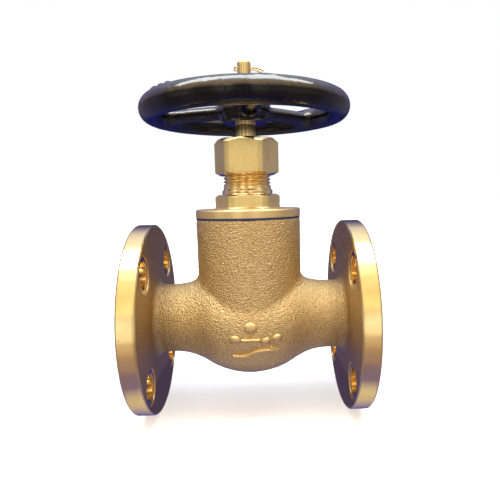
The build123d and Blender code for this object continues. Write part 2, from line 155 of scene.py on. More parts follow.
def rounded_profile(corners, count):
    """Points along a closed outline whose corners are rounded.

    A corner is (radius, height, rounding, spacing): spacing holds for the stretch after
    it. A radius or height may be an array with one value for each of count directions.
    """
    total = len(corners)
    spots = np.array([
        [np.broadcast_to(np.asarray(c[0], float), count),
         np.broadcast_to(np.asarray(c[1], float), count)]
        for c in corners
    ])
    stretch = np.roll(spots, -1, axis=0) - spots
    length = np.maximum(np.hypot(stretch[:, 0], stretch[:, 1]), 1e-9)
    along = stretch / length[:, None]
    cuts = []
    for i in range(total):
        turn_before, turn, turn_after = (corners[(i + k) % total][2] for k in (-1, 0, 1))
        room_before = length[i - 1] * turn / max(turn + turn_before, 1e-9)
        room_after = length[i] * turn / max(turn + turn_after, 1e-9)
        cuts.append(np.minimum(turn, np.minimum(room_before, room_after)))
    rows = []
    for i in range(total):
        start = spots[i] - along[i - 1] * cuts[i]
        end = spots[i] + along[i] * cuts[i]
        for t in (0.0, 0.25, 0.5, 0.75, 1.0) if corners[i][2] > 0 else (0.5,):
            rows.append((1 - t) ** 2 * start + 2 * t * (1 - t) * spots[i] + t * t * end)
        following = (i + 1) % total
        stop = spots[following] - along[i] * cuts[following]
        steps = max(1, int(round(length[i].mean() / corners[i][3])))
        for step in range(1, steps):
            rows.append(end + (stop - end) * step / steps)
    return np.array(rows)


def turned(name, corners, segments, relief=None):
    """Closed solid round the stem axis, from corners as rounded_profile reads them.

    A corner may be a function that gives one for an array of directions.
    """
    angle = np.arange(segments) * TURN / segments
    rows = rounded_profile([c(angle) if callable(c) else c for c in corners], segments)
    radius, height = rows[:, 0], rows[:, 1]
    if relief:
        radius = radius + relief(np.broadcast_to(angle, radius.shape), radius, height)
    points = np.stack([radius * np.cos(angle), radius * np.sin(angle), height], axis=-1)
    faces = grid_faces(len(rows), segments, True)
    return place(name, points.reshape(-1, 3), faces)


def hexagon_radius(across_flats, turn):
    """Radius of a hexagon with slightly worn corners, as a function of direction."""
    sharpness = 110

    def radius(angle):
        total = 0.0
        for flat in range(6):
            lean = np.cos(angle - math.radians(turn + 30 + 60 * flat))
            total = total + (np.maximum(lean, 0.0) * 2 / across_flats) ** sharpness
        return total ** (-1 / sharpness)
    return radius


def helix(root, crest, pitch, bottom, top, fade=0.6):
    """Relief that cuts a right-hand thread between two heights into the crest's surface.

    Each tooth is a triangle, clipped so that it has a small flat at its crest and root.
    """
    def relief(angle, radius, height):
        phase = (height / pitch - angle / TURN) % 1.0
        tooth = np.clip((1 - np.abs(2 * phase - 1)) * 1.35 - 0.12, 0.0, 1.0)
        inside = smoothstep(bottom - fade, bottom + fade, height)
        inside = inside * (1 - smoothstep(top - fade, top + fade, height))
        on_crest = (np.abs(radius - crest) < 0.06) & (height > bottom - 1) & (height < top + 1)
        return np.where(on_crest, -(crest - root) * (1 - tooth) * inside, 0.0)
    return relief


def apply_modifiers(piece):
    depsgraph = bpy.context.evaluated_depsgraph_get()
    depsgraph.update()
    mesh = bpy.data.meshes.new_from_object(piece.evaluated_get(depsgraph))
    piece.modifiers.clear()
    old = piece.data
    piece.data = mesh
    bpy.data.meshes.remove(old)


def cut(piece, cutters):
    """Cut other pieces out of a piece, and delete them."""
    for cutter in cutters:
        boolean = piece.modifiers.new("cut", "BOOLEAN")
        boolean.operation = "DIFFERENCE"
        boolean.object = cutter
        boolean.solver = "EXACT"
    bpy.context.view_layer.update()
    apply_modifiers(piece)
    for cutter in cutters:
        bpy.data.objects.remove(cutter)


def remeshed(name, node, voxel, half_reach=None):
    """Copy of a CAD node as an even mesh, cut off at half_reach along the pipe if given."""
    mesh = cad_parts[node].data.copy()
    piece = add_object(name, mesh)
    bm = bmesh.new()
    bm.from_mesh(mesh)
    bmesh.ops.remove_doubles(bm, verts=bm.verts, dist=1e-6)
    if half_reach:
        for side in (-1, 1):
            plane = AXIS + Vector((side * half_reach * MM, 0, 0))
            everything = bm.verts[:] + bm.edges[:] + bm.faces[:]
            found = bmesh.ops.bisect_plane(
                bm, geom=everything, plane_co=plane, plane_no=(side, 0, 0), clear_outer=True,
            )
            rim = [e for e in found["geom_cut"] if isinstance(e, bmesh.types.BMEdge)]
            bmesh.ops.triangle_fill(bm, edges=rim, use_beauty=True, normal=(side, 0, 0))
    bm.to_mesh(mesh)
    bm.free()
    mesh.materials.clear()
    remesh = piece.modifiers.new("even", "REMESH")
    remesh.mode = "VOXEL"
    remesh.voxel_size = voxel * MM
    bpy.context.view_layer.update()
    apply_modifiers(piece)
    return piece


def read_points(mesh):
    """A mesh's points in millimetres about the axis crossing."""
    flat = np.empty(len(mesh.vertices) * 3)
    mesh.vertices.foreach_get("co", flat)
    return (flat.reshape(-1, 3) - np.array(AXIS)) / MM


def write_points(mesh, points):
    mesh.vertices.foreach_set("co", (points * MM + np.array(AXIS)).ravel())
    mesh.update()


def read_normals(mesh):
    flat = np.empty(len(mesh.vertices) * 3)
    mesh.vertices.foreach_get("normal", flat)
    return flat.reshape(-1, 3)


def gradient(field, points):
    """Slope of a distance field at the points."""
    step = 0.02
    slopes = []
    for axis in range(3):
        move = np.zeros(3)
        move[axis] = step
        slopes.append((field(points + move) - field(points - move)) / (2 * step))
    return np.stack(slopes, axis=1)


def wrap(piece, field, allowed, near=2.6, rounds=3):
    """Draw a mesh's outer skin onto the zero of a distance field.

    The points that move are within near of it, face the way it slopes, and are allowed.
    Each round evens their spacing and then steps them onto the zero twice.
    """
    mesh = piece.data
    points = read_points(mesh)
    slope = gradient(field, points)
    length = np.maximum(np.linalg.norm(slope, axis=1), 1e-6)
    facing = np.sum(slope / length[:, None] * read_normals(mesh), axis=1)
    chosen = (np.abs(field(points)) < near) & (facing > 0.35) & allowed(points)
    evening, least_square, longest_step = 0.4, 0.04, 1.5
    edges = np.empty(len(mesh.edges) * 2, int)
    mesh.edges.foreach_get("vertices", edges)
    one, two = edges.reshape(-1, 2).T
    meets = np.bincount(np.r_[one, two], minlength=len(points)).astype(float)
    for _ in range(rounds):
        sums = np.stack([
            np.bincount(one, points[two, k], len(points))
            + np.bincount(two, points[one, k], len(points)) for k in range(3)
        ], axis=1)
        mean = sums / meets[:, None]
        points[chosen] += evening * (mean - points)[chosen]
        for _ in range(2):
            here = points[chosen]
            slope = gradient(field, here)
            square = np.maximum(np.sum(slope * slope, axis=1), least_square)
            move = np.clip(field(here) / square, -longest_step, longest_step)
            points[chosen] -= slope * move[:, None]
    write_points(mesh, points)


def lift_skin(piece, lift):
    """Push a mesh's points out along their normals."""
    mesh = piece.data
    points, normals = read_points(mesh), read_normals(mesh)
    points += normals * lift(points, normals)[:, None]
    write_points(mesh, points)


def paint_faces(piece, choose):
    """Material index of each face, from its centre and normal."""
    mesh = piece.data
    count = len(mesh.polygons)
    centres, normals = np.empty(count * 3), np.empty(count * 3)
    mesh.polygons.foreach_get("center", centres)
    mesh.polygons.foreach_get("normal", normals)
    centres = (centres.reshape(-1, 3) - np.array(AXIS)) / MM
    index = choose(centres, normals.reshape(-1, 3)).astype(np.int32)
    mesh.polygons.foreach_set("material_index", index)


# ---- materials --------------------------------------------------------------

class Nodes:
    """Short calls to add and join the nodes of one tree."""

    def __init__(self, tree):
        self.tree = tree

    def add(self, kind, inputs, **settings):
        node = self.tree.nodes.new(kind)
        for setting, value in settings.items():
            setattr(node, setting, value)
        for socket, value in inputs.items():
            if isinstance(value, bpy.types.NodeSocket):
                self.tree.links.new(value, node.inputs[socket])
            else:
                node.inputs[socket].default_value = value
        return node

    def math(self, operation, *values, clamp=False):
        settings = {"operation": operation, "use_clamp": clamp}
        return self.add("ShaderNodeMath", dict(enumerate(values)), **settings).outputs[0]

    def blend(self, amount, first, second, kind="MIX"):
        settings = {"data_type": "RGBA", "blend_type": kind}
        return self.add("ShaderNodeMix", {0: amount, 6: first, 7: second}, **settings).outputs[2]

    def ramp(self, value, *stops):
        """Map a value through (position, grey level or colour) stops."""
        node = self.add("ShaderNodeValToRGB", {0: value})
        for index, (position, level) in enumerate(stops):
            if index > 1:
                node.color_ramp.elements.new(position)
            element = node.color_ramp.elements[index]
            element.position = position
            element.color = (*level, 1) if isinstance(level, tuple) else (level, level, level, 1)
        return node.outputs[0]


class Shades(Nodes):
    """One material and its nodes."""

    def __init__(self, name, sockets):
        self.material = bpy.data.materials.new(name)
        self.material.use_nodes = True
        super().__init__(self.material.node_tree)
        self.surface = self.tree.nodes["Principled BSDF"]
        for socket, value in sockets.items():
            self.surface.inputs[socket].default_value = value
        self.position = self.add("ShaderNodeTexCoord", {}).outputs["Object"]

    def noise(self, size, detail=2.0, roughness=0.5, position=None):
        """Smooth noise from 0 to 1, with features about a size across in millimetres."""
        inputs = {
            "Vector": position or self.position, "Scale": 1 / (size * MM), "Detail": detail,
            "Roughness": roughness,
        }
        return self.add("ShaderNodeTexNoise", inputs).outputs["Fac"]

    def spots(self, size, position=None):
        """Distance from the nearest of many scattered points, in units of their spacing."""
        inputs = {"Vector": position or self.position, "Scale": 1 / (size * MM)}
        return self.add("ShaderNodeTexVoronoi", inputs).outputs["Distance"]

    def section(self, axis):
        """Position in the plane through a turning axis, where turning marks are lines."""
        parts = self.add("ShaderNodeSeparateXYZ", {0: self.position}).outputs
        if axis == "x":
            along, one = parts["X"], parts["Z"]
        else:
            along, one = parts["Z"], self.math("SUBTRACT", parts["X"], AXIS.x)
        squares = self.math("ADD", self.math("MULTIPLY", one, one),
                            self.math("MULTIPLY", parts["Y"], parts["Y"]))
        radius = self.math("SQRT", squares)
        return self.add("ShaderNodeCombineXYZ", {0: along, 1: radius}).outputs[0]

    def stretched(self, x, y, z):
        """Position scaled along each axis, so that a small factor draws a pattern out."""
        scale = {"Vector": self.position, "Scale": (x, y, z)}
        return self.add("ShaderNodeMapping", scale).outputs[0]

    def bump(self, height, depth, under=None):
        """Relief of a depth in millimetres."""
        inputs = {"Height": height, "Distance": depth * MM, "Strength": 1.0}
        if under:
            inputs["Normal"] = under
        return self.add("ShaderNodeBump", inputs).outputs[0]

    def join(self, socket, value):
        self.tree.links.new(value, self.surface.inputs[socket])


GOLD = (0.90, 0.71, 0.38, 1)
WARM = (0.82, 0.60, 0.28, 1)
DULL = (0.60, 0.44, 0.22, 1)
BROWN = (0.33, 0.21, 0.10, 1)
STRAW = (0.96, 0.83, 0.41, 1)
# Colour of the shade painted onto the cast skin.
PAINTED_SHADE = (0.27, 0.17, 0.10, 1)


def cast_bronze(name, relief=0.85):
    """Sand-cast skin, cleaned but not machined: satin, with a fine pebbled grain.

    Shade is painted into its colour towards the ends of the pipe and underneath. Both are
    measured in tenths of a metre, and the inlet's end has a little more painted shade.
    """
    m = Shades(name, {"Metallic": 1.0})
    grain = m.noise(0.85, 2.0, 0.5, m.stretched(1.0, 1.0, 1.15))
    fine = m.noise(0.45, 2.0, 0.6)
    stain = m.noise(14.0, 3.0, 0.6)
    colour = m.blend(m.ramp(grain, (0.34, 0.0), (0.54, 1.0)), DULL, GOLD)
    colour = m.blend(m.ramp(stain, (0.42, 0.0), (0.68, 0.45)), colour, WARM)
    pits = m.ramp(m.spots(3.1), (0.05, 1.0), (0.13, 0.0))
    colour = m.blend(m.math("MULTIPLY", pits, m.ramp(m.noise(5.0), (0.5, 0.0), (0.62, 0.8))),
                     colour, BROWN)
    parts = m.add("ShaderNodeSeparateXYZ", {0: m.position}).outputs
    low = m.math("MULTIPLY", parts["Z"], -10.0)
    middle = AXIS.x + 2.5 * MM
    reach = m.math("DIVIDE", m.math("ABSOLUTE", m.math("SUBTRACT", parts["X"], middle)), 0.1)
    reach = m.math("ADD", reach, m.ramp(stain, (0.3, 0.0), (0.7, 0.04)))
    reach = m.math("ADD", reach, m.ramp(low, (0.02, 0.0), (0.24, 0.11)))
    # Painted shade: darker next to the flanges and under the bulb, where they shade each other.
    painted_shade = m.math("MAXIMUM", m.ramp(reach, (0.45, 0.0), (0.58, 0.58)),
                   m.ramp(low, (0.22, 0.0), (0.36, 0.92)))
    colour = m.blend(painted_shade, colour, PAINTED_SHADE)
    m.join("Base Color", colour)
    m.join("Roughness", m.ramp(grain, (0.3, 0.46), (0.7, 0.34)))
    m.join("Normal", m.bump(fine, 0.14, m.bump(grain, relief)))
    return m.material


def turned_bronze(name, axis, roughness, marks=0.008):
    """Metal from the lathe: bright, with fine lines round its axis and a few handling marks."""
    m = Shades(name, {"Metallic": 1.0})
    section = m.section(axis)
    lines = m.noise(0.35, 3.0, 0.7, section)
    passes = m.noise(2.2, 1.0, 0.5, section)
    smudge = m.noise(11.0, 3.0, 0.6)
    pits = m.ramp(m.spots(7.0), (0.03, 1.0), (0.05, 0.0))
    colour = m.blend(m.ramp(smudge, (0.45, 0.0), (0.75, 0.6)), GOLD, WARM)
    colour = m.blend(pits, colour, BROWN)
    m.join("Base Color", colour)
    rough = m.math("ADD", m.ramp(lines, (0.3, roughness - 0.04), (0.7, roughness + 0.05)),
                   m.ramp(smudge, (0.4, 0.0), (0.7, 0.07)))
    m.join("Roughness", rough)
    wave = m.bump(passes, marks * 1.5)
    m.join("Normal", m.bump(pits, -0.05, m.bump(lines, marks, wave)))
    return m.material


def wrench_bronze(name):
    """Sawn and tumbled hexagon flats: satin with a fine speckle and upright strokes."""
    m = Shades(name, {"Metallic": 1.0})
    speckle = m.noise(0.42, 3.0, 0.7)
    strokes = m.noise(0.6, 2.0, 0.6, m.stretched(1.0, 1.0, 0.03))
    smudge = m.noise(8.0, 3.0, 0.6)
    colour = m.blend(m.ramp(speckle, (0.36, 0.0), (0.62, 1.0)), WARM, STRAW)
    colour = m.blend(m.ramp(smudge, (0.5, 0.0), (0.8, 0.5)), colour, DULL)
    m.join("Base Color", colour)
    m.join("Roughness", m.ramp(speckle, (0.3, 0.39), (0.7, 0.27)))
    m.join("Normal", m.bump(strokes, 0.03, m.bump(speckle, 0.075)))
    return m.material


def black_enamel(name, level):
    """Thick glossy black paint over a cast wheel, with brush runs round it and dust.

    Its reflection is painted stronger over the given level, a painted highlight along the wheel's
    top.
    """
    m = Shades(name, {"Metallic": 0.0, "IOR": 1.6})
    runs = m.noise(9.0, 2.0, 0.5)
    ripple = m.noise(2.4, 2.0, 0.5)
    dust = m.ramp(m.spots(6.0), (0.025, 1.0), (0.06, 0.0))
    strokes = m.math("MULTIPLY", m.noise(1.1, 2.0, 0.6, m.section("z")),
                     m.ramp(m.noise(8.0), (0.46, 0.0), (0.62, 1.0)))
    height = m.add("ShaderNodeSeparateXYZ", {0: m.position}).outputs["Z"]
    # Painted highlight: the reflection is made stronger on the wheel's upper part, above the
    # level.
    rise = 50.0
    over = m.math("MULTIPLY_ADD", height, rise, 0.5 - level * MM * rise)
    over = m.math("ADD", over, m.ramp(ripple, (0.3, -0.02), (0.7, 0.02)))
    m.join("Specular IOR Level", m.ramp(over, (0.50, 0.22), (0.56, 1.0)))
    m.join("Base Color", m.blend(m.ramp(runs, (0.35, 0.0), (0.7, 1.0)),
                                 (0.0010, 0.0012, 0.004, 1), (0.004, 0.003, 0.004, 1)))
    m.join("Roughness", m.ramp(ripple, (0.3, 0.07), (0.7, 0.13)))
    relief = m.bump(strokes, 0.20, m.bump(ripple, 0.035, m.bump(runs, 0.16)))
    m.join("Normal", m.bump(dust, 0.06, relief))
    return m.material


def joint_sheet(name):
    """Blue compressed-fibre sheet."""
    m = Shades(name, {"Roughness": 0.75})
    fibre = m.noise(0.5, 3.0, 0.7)
    m.join("Base Color", m.blend(fibre, (0.006, 0.016, 0.075, 1), (0.016, 0.035, 0.13, 1)))
    m.join("Normal", m.bump(fibre, 0.04))
    return m.material


def plated_steel(name):
    m = Shades(name, {"Metallic": 1.0})
    section = m.section("z")
    lines = m.noise(0.3, 2.0, 0.6, section)
    bloom = m.noise(3.0, 2.0)
    m.join("Base Color", m.blend(bloom, (0.60, 0.57, 0.50, 1), (0.42, 0.40, 0.37, 1)))
    m.join("Roughness", m.ramp(bloom, (0.3, 0.28), (0.7, 0.42)))
    m.join("Normal", m.bump(lines, 0.01))
    return m.material


def drawn_brass(name):
    m = Shades(name, {"Metallic": 1.0})
    tarnish = m.noise(2.0, 2.0, 0.6)
    m.join("Base Color", m.blend(tarnish, (0.88, 0.70, 0.40, 1), (0.62, 0.45, 0.22, 1)))
    m.join("Roughness", m.ramp(tarnish, (0.3, 0.2), (0.7, 0.36)))
    m.join("Normal", m.bump(m.noise(0.4, 2.0), 0.01))
    return m.material


def braided_packing(name):
    """Greased square-plaited yarn."""
    m = Shades(name, {"Roughness": 0.6})
    plait = m.spots(1.6, m.stretched(1.0, 1.0, 1.6))
    m.join("Base Color", m.blend(plait, (0.05, 0.05, 0.045, 1), (0.012, 0.012, 0.011, 1)))
    m.join("Normal", m.bump(plait, -0.3))
    return m.material


CAST = cast_bronze("cast_bronze")
WORN_CAST = cast_bronze("worn_cast_bronze", 0.2)
RIM = turned_bronze("turned_bronze_pipe", "x", 0.11)
FACE = turned_bronze("turned_bronze_face", "x", 0.32, 0.012)
LATHE = turned_bronze("turned_bronze_stem", "z", 0.15)
COVER = turned_bronze("turned_bronze_cover", "z", 0.34, 0.012)
WRENCH = wrench_bronze("wrench_bronze")
# Height above which the enamel's reflection is painted stronger, a painted highlight.
PAINTED_HIGHLIGHT_LEVEL = 123.1
ENAMEL = black_enamel("black_enamel", PAINTED_HIGHLIGHT_LEVEL)
SHEET = joint_sheet("joint_sheet")
STEEL = plated_steel("plated_steel")
WIRE = drawn_brass("drawn_brass")
PACKING = braided_packing("braided_packing")


# ---- body casting -----------------------------------------------------------

BULB_RADIUS = 34.6
BULB_CROWN = 47.0
WAIST = 38.0
NECK_RADIUS = 20.7
UPRIGHT_RADIUS = 31.0
CUT_REACH = 48.0
CREASE_FILLET = 7.0
SAG = 1.8
SAG_FADES_FROM, SAG_FADES_TO = 8.0, 31.0
CROWN_CENTRE = BULB_RADIUS - BULB_CROWN
WAIST_CENTRE = NECK_RADIUS + WAIST
NECK_START = math.sqrt((BULB_CROWN + WAIST) ** 2 - (WAIST_CENTRE - CROWN_CENTRE) ** 2)


def bulb_radius(x):
    """Outline of the bulb: a crown arc, then a waist arc that ends level at the neck."""
    reach = np.abs(x)
    crown = CROWN_CENTRE + np.sqrt(np.maximum(BULB_CROWN ** 2 - reach ** 2, 0.0))
    away = np.maximum(NECK_START - reach, 0.0)
    waist = WAIST_CENTRE - np.sqrt(np.maximum(WAIST ** 2 - away ** 2, 0.0))
    return np.where(reach < NECK_START * BULB_CROWN / (BULB_CROWN + WAIST), crown, waist)


def casting_field(points):
    """Bulb along the pipe and upright chamber, run together by a fillet.

    The bulb hangs: its section is a circle centred a little below the pipe axis. The fillet
    narrows where the two walls face alike, so that it doesn't swell them.
    """
    x, y, z = points.T
    sag = SAG * (1 - smoothstep(SAG_FADES_FROM, SAG_FADES_TO, np.abs(x)))
    away = np.maximum(np.hypot(y, z + sag), 1e-6)
    around = np.maximum(np.hypot(x, y), 1e-6)
    bulb = away - bulb_radius(x) + sag
    upright = np.maximum(around - UPRIGHT_RADIUS, -z)
    lean = (bulb_radius(x + 0.5) - bulb_radius(x - 0.5)) / np.hypot(1.0, 0.5)
    alike = (y * y / away - lean * x) / around
    width = CREASE_FILLET * (1 - np.clip(alike, -1.0, 1.0)) + 0.5
    return smooth_union(bulb, upright, width)


TILT = np.array(Matrix.Rotation(0.6, 3, (1, 2, 3)))


def cast_grain(points):
    """Pebbled relief left by the sand, over a slow unevenness.

    The noise is read at an angle, so that its lattice isn't in line with the casting.
    """
    tilted = points @ TILT.T
    return 0.10 * lattice_noise(tilted, 0.8, 3) + 0.12 * lattice_noise(tilted, 7.0, 4)


STROKE_SPACING = 0.3


def rounded_line(corners):
    """Even points along a polyline whose corners have been cut off, and cut again."""
    line = np.array(corners, float)
    for _ in range(3):
        first = 0.75 * line[:-1] + 0.25 * line[1:]
        second = 0.25 * line[:-1] + 0.75 * line[1:]
        middle = np.stack([first, second], axis=1).reshape(-1, 2)
        line = np.vstack([line[:1], middle, line[-1:]])
    run = np.append(0.0, np.cumsum(np.linalg.norm(np.diff(line, axis=0), axis=1)))
    places = np.linspace(0, run[-1], max(5, int(run[-1] / STROKE_SPACING)))
    return np.stack([np.interp(places, run, line[:, k]) for k in (0, 1)], axis=1)


def on_bulb(x, s):
    """Points on the casting's front, a distance s round the bulb from its middle."""
    angle = s / BULB_RADIUS
    ray = np.stack([np.zeros(len(x)), -np.cos(angle), np.sin(angle)], axis=1)
    base = np.stack([x, np.zeros(len(x)), np.zeros(len(x))], axis=1)
    reach = np.full(len(x), BULB_RADIUS)
    for _ in range(25):
        reach -= casting_field(base + ray * reach[:, None])
    return base + ray * reach[:, None]


# Foundry marks on the front of the bulb: round studs and a bar over an arrow along the
# flow. Each is a stroke of a half width, through places given as (along the pipe, round
# the bulb) from the middle of the front.
MARKS = [
    (1.85, [(-11.9, -6.6), (-5.6, -6.6)]),
    (2.15, [(-3.6, 0.8), (3.6, 0.8)]),
    (0.60, [(-5.6, -6.3), (5.3, -6.3)]),
    (1.65, [(5.7, -7.8), (11.2, -7.8)]),
    (1.65, [(12.1, -6.6), (17.6, -6.6)]),
    (0.66, [(-11.0, -17.6), (-6.5, -17.7), (-2.5, -17.0), (0.5, -15.0), (3.2, -13.6),
            (10.5, -13.5), (16.2, -15.4)]),
    (0.60, [(10.6, -11.9), (16.2, -15.4)]),
]


def make_marks():
    """Raised strokes with sloping sides and rounded ends, let into the bulb's skin.

    A stroke's section is given as (half widths to the side, millimetres out of the skin).
    """
    foot = 1.7
    section = [(-foot, -0.7), (-1.5, 0.1), (-1.1, 0.9), (-0.5, 1.25), (0.5, 1.25), (1.1, 0.9),
               (1.5, 0.1), (foot, -0.7)]
    points, faces = [], []
    for half_width, corners in MARKS:
        line = rounded_line(corners)
        spots = on_bulb(line[:, 0], line[:, 1])
        normals = gradient(casting_field, spots)
        normals /= np.linalg.norm(normals, axis=1)[:, None]
        across = np.cross(np.gradient(spots, axis=0), normals)
        across /= np.linalg.norm(across, axis=1)[:, None]
        ends = np.minimum(np.arange(len(line)), np.arange(len(line))[::-1])
        share = np.clip((ends + 0.4) * STROKE_SPACING / (foot * half_width), 0.0, 1.0)
        size = np.sqrt(share * (2 - share))
        rows = [
            spots + across * (side * half_width * size)[:, None] + normals * (rise * size)[:, None]
            for side, rise in section
        ]
        rows = np.stack(rows, axis=1)
        base = sum(len(p) for p in points)
        for face in grid_faces(len(rows), len(section), False):
            faces.append(tuple(base + corner for corner in face))
        last = base + (len(rows) - 1) * len(section)
        faces.append(tuple(base + k for k in range(len(section))))
        faces.append(tuple(last + k for k in reversed(range(len(section)))))
        points.append(rows.reshape(-1, 3))
    piece = place("foundry_marks", np.vstack(points), faces)
    lift_skin(piece, lambda p, n: 0.5 * cast_grain(p))
    finish_piece(piece, "valve_body", "cast_bronze", ["body"], WORN_CAST, crease=80)


def blow_hole(points):
    """Small pit in the front of the upright, with a raised lip under it."""
    around = np.hypot(points[:, 0] - 11.4, points[:, 2] - 37.0)
    lip = np.hypot((points[:, 0] - 11.9) / 1.5, points[:, 2] - 35.0)
    dent = 0.12 * np.exp(-(lip / 0.9) ** 2) - 0.60 * np.exp(-(around / 0.75) ** 2)
    return np.where(points[:, 1] < 0, dent, 0.0)


def make_casting():
    """The body between its flanges. Its inside and its mouth keep the CAD shape."""
    piece = remeshed("body_casting", "body", 0.5, CUT_REACH)

    def free(points):
        return (points[:, 2] < BODY_TOP - 0.3) & (abs(points[:, 0]) < CUT_REACH - 0.4)

    wrap(piece, casting_field, free)

    def skin(points, normals):
        slope = gradient(casting_field, points)
        slope /= np.maximum(np.linalg.norm(slope, axis=1), 1e-6)[:, None]
        outer = (np.abs(casting_field(points)) < 0.3) & (np.sum(slope * normals, axis=1) > 0.5)
        fade = smoothstep(0.2, 3.0, BODY_TOP - points[:, 2])
        fade = fade * smoothstep(0.0, 1.5, CUT_REACH - abs(points[:, 0]))
        relief = cast_grain(points) + blow_hole(points)
        return np.where(outer, relief * fade, 0.0)

    lift_skin(piece, skin)
    finish_piece(piece, "valve_body", "cast_bronze", ["body"], CAST, crease=60)


# ---- flanges ----------------------------------------------------------------

def along_pipe(piece, side, offset=(0.0, 0.0, 0.0)):
    """Turn a piece made round the stem axis so that its height runs along the pipe, to the
    left or right as side is -1 or 1, and move it by the offset."""
    mesh = piece.data
    points = read_points(mesh)
    lying = np.stack([side * points[:, 2], points[:, 0], side * points[:, 1]], axis=1)
    write_points(mesh, lying + np.array(offset))


def make_flange(name, side):
    """A flange and its neck. A ridge on the neck's end reaches into the casting's wall."""
    inner, outer = HALF_LENGTH - FLANGE_THICKNESS, HALF_LENGTH
    bevel, ridge = 0.8, 1.0
    bore, hole, hole_mouth, spot_face = 16.0, 7.5, 8.6, 11.0
    face_edge = FLANGE_RADIUS - bevel
    piece = turned(name, [
        (bore, CUT_REACH, 0, 3),
        (18.0, CUT_REACH, 0, 1),
        (18.6, CUT_REACH - ridge, 0, 1),
        (20.3, CUT_REACH - ridge, 0, 1),
        (NECK_RADIUS, CUT_REACH, 0, 0.6),
        (NECK_RADIUS, inner, 5.0, 0.6),
        (face_edge, inner, 0.15, 0.4),
        (FLANGE_RADIUS, inner + bevel, 0.25, 1.5),
        (FLANGE_RADIUS, outer - bevel, 0.25, 0.4),
        (face_edge, outer, 0.15, 2.5),
        (bore + 0.6, outer, 0.1, 0.4),
        (bore, outer - 0.6, 0.1, 2.0),
    ], segments=384)
    along_pipe(piece, side)

    def skin(points, normals):
        reach = np.abs(points[:, 0])
        radius = np.hypot(points[:, 1], points[:, 2])
        cast = (reach < inner + 0.05) & (radius > 20.5)
        fade = smoothstep(0.0, 1.5, reach - CUT_REACH) * smoothstep(0.3, 2.0, face_edge - radius)
        return np.where(cast, cast_grain(points) * fade, 0.0)

    lift_skin(piece, skin)
    cutters = []
    for index in range(4):
        angle = math.radians(45 + 90 * index)
        offset = (0.0, BOLT_CIRCLE * math.cos(angle), BOLT_CIRCLE * math.sin(angle))
        cutter = turned("cutter", [
            (0, inner - 3, 0, 9), (spot_face, inner - 3, 0, 9),
            (spot_face, inner + 0.8, 0.2, 9), (hole + 0.4, inner + 0.8, 0.1, 9),
            (hole, inner + 1.2, 0, 9), (hole, outer - 0.5, 0, 9),
            (hole_mouth, outer + 0.6, 0, 9), (0, outer + 0.6, 0, 9),
        ], segments=72)
        along_pipe(cutter, side, offset)
        cutters.append(cutter)
    cut(piece, cutters)

    def choose(centres, normals):
        reach = np.abs(centres[:, 0])
        radius = np.hypot(centres[:, 1], centres[:, 2])
        from_hole = np.hypot(abs(centres[:, 1]) - BOLT_CIRCLE * math.sqrt(0.5),
                             abs(centres[:, 2]) - BOLT_CIRCLE * math.sqrt(0.5))
        cast = (reach < inner + 0.3) & (radius > 20) & (radius < face_edge + 0.05)
        turned_side = np.where(reach > outer - 0.1, 2, 1)
        return np.where(cast & (from_hole > spot_face - 0.1), 0, turned_side)

    finish_piece(piece, "valve_body", "cast_bronze", ["body"], CAST, RIM, FACE, crease=40)
    paint_faces(piece, choose)


# ---- bonnet and packing nut -------------------------------------------------

COVER_HEX = hexagon_radius(35.3, 2.7)
NUT_HEX = hexagon_radius(34.4, -5.7)
SLOPE = math.tan(math.radians(30))


